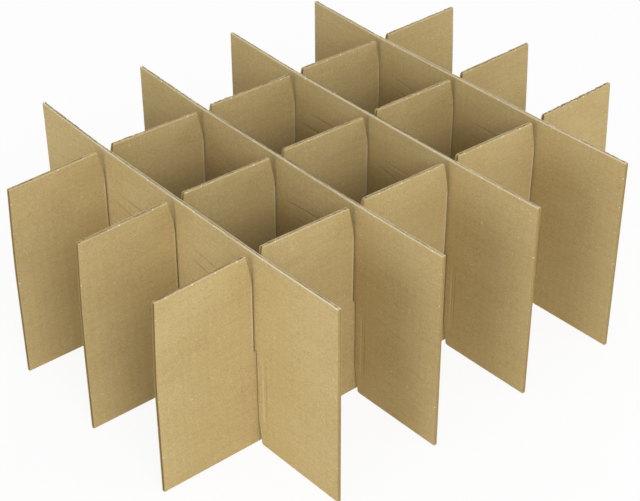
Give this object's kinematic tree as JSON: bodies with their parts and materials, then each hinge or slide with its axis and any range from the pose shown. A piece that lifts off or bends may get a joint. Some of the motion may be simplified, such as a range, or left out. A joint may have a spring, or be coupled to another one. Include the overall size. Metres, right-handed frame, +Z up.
{
  "type": "bottle box divider",
  "caption": "Loose lattice of slotted corrugated board strips that stands in a carton and divides it into open cells for bottles.",
  "frame": {"origin": "centre of the footprint, on the surface that the divider stands on", "axes": "+X along the short strips, +Y along the long strips, +Z up"},
  "size_m": [0.318, 0.4, 0.15],
  "materials": {
    "board": "matt brown kraft, with cut edges that show the flutes"
  },
  "bodies": {
    "long_middle": {"long_strip_middle": "board"},
    "long_back": {"long_strip_back": "board"},
    "long_front": {"long_strip_front": "board"},
    "short_left": {"short_strip_left": "board"},
    "short_mid_left": {"short_strip_mid_left": "board"},
    "short_mid_right": {"short_strip_mid_right": "board"},
    "short_right": {"short_strip_right": "board"}
  },
  "joints": [
    {"name": "rack", "type": "hinge", "parent": "long_middle", "child": "short_mid_left", "pos_m": [0, -0.04125, 0.075], "axis": [0, 0, 1], "range_deg": [-30, 30]},
    {"name": "short_left_pivot", "type": "hinge", "parent": "long_middle", "child": "short_left", "pos_m": [0, -0.12375, 0.075], "axis": [0, 0, 1], "range_deg": [-30, 30]},
    {"name": "short_mid_right_pivot", "type": "hinge", "parent": "long_middle", "child": "short_mid_right", "pos_m": [0, 0.04125, 0.075], "axis": [0, 0, 1], "range_deg": [-30, 30]},
    {"name": "short_right_pivot", "type": "hinge", "parent": "long_middle", "child": "short_right", "pos_m": [0, 0.12375, 0.075], "axis": [0, 0, 1], "range_deg": [-30, 30]},
    {"name": "long_back_pivot", "type": "hinge", "parent": "short_mid_left", "child": "long_back", "pos_m": [-0.08, -0.04125, 0.075], "axis": [0, 0, 1], "range_deg": [-30, 30]},
    {"name": "long_front_pivot", "type": "hinge", "parent": "short_mid_left", "child": "long_front", "pos_m": [0.08, -0.04125, 0.075], "axis": [0, 0, 1], "range_deg": [-30, 30]}
  ],
  "couplings": [
    {"joint": "short_left_pivot", "follows": "rack", "ratio": 1},
    {"joint": "short_mid_right_pivot", "follows": "rack", "ratio": 1},
    {"joint": "short_right_pivot", "follows": "rack", "ratio": 1},
    {"joint": "long_back_pivot", "follows": "rack", "ratio": -1},
    {"joint": "long_front_pivot", "follows": "rack", "ratio": -1}
  ]
}
